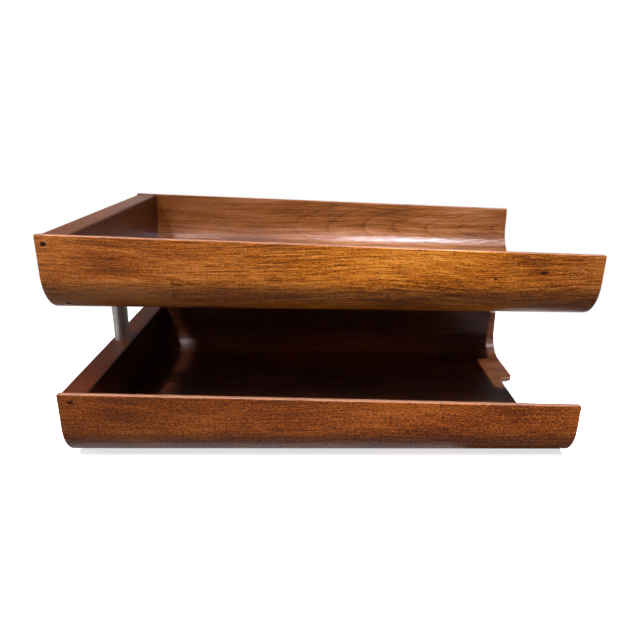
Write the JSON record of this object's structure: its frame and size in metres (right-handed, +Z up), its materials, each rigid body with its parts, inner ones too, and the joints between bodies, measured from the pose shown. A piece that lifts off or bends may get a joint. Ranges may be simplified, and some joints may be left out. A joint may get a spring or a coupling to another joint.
{
  "type": "letter tray",
  "caption": "Desk letter tray: bentwood troughs, each closed at one end by a board, stacked on a single post about which the upper one swings out.",
  "frame": {"origin": "on the desk, under the middle of the trays", "axes": "+X along the trays from the closed end to the open end, +Y from the front wall to the back wall, +Z up"},
  "size_m": [0.39, 0.244, 0.1752],
  "materials": {
    "lower_shell_walnut": "satin lacquer over walnut veneer",
    "upper_shell_walnut": "satin lacquer over walnut veneer",
    "lower_board_walnut": "satin lacquer over solid walnut",
    "upper_board_walnut": "satin lacquer over solid walnut",
    "brad_steel": "plain drawn wire",
    "filler": "dark wood filler, sanded flush",
    "post_metal": "satin, brushed along its length",
    "nylon": "plain black nylon",
    "zinc_steel": "bright zinc plate",
    "insert_brass": "turned",
    "felt": "dense felt"
  },
  "bodies": {
    "lower_tray": {"lower_shell": "lower_shell_walnut", "lower_end_board": "lower_board_walnut", "lower_brads": "brad_steel", "lower_fillers": "filler", "post_tube": "post_metal", "bearing_washer": "nylon", "flat_washer": "zinc_steel", "spring_washer": "zinc_steel", "foot_pads": "felt"},
    "upper_tray": {"upper_shell": "upper_shell_walnut", "upper_end_board": "upper_board_walnut", "upper_brads": "brad_steel", "upper_fillers": "filler", "pivot_bolt": "zinc_steel", "threaded_insert": "insert_brass"}
  },
  "joints": [
    {"name": "upper_tray_swing", "type": "hinge", "parent": "lower_tray", "child": "upper_tray", "pos_m": [-0.1845, 0, 0.1182], "axis": [0, 0, 1], "continuous": true}
  ]
}
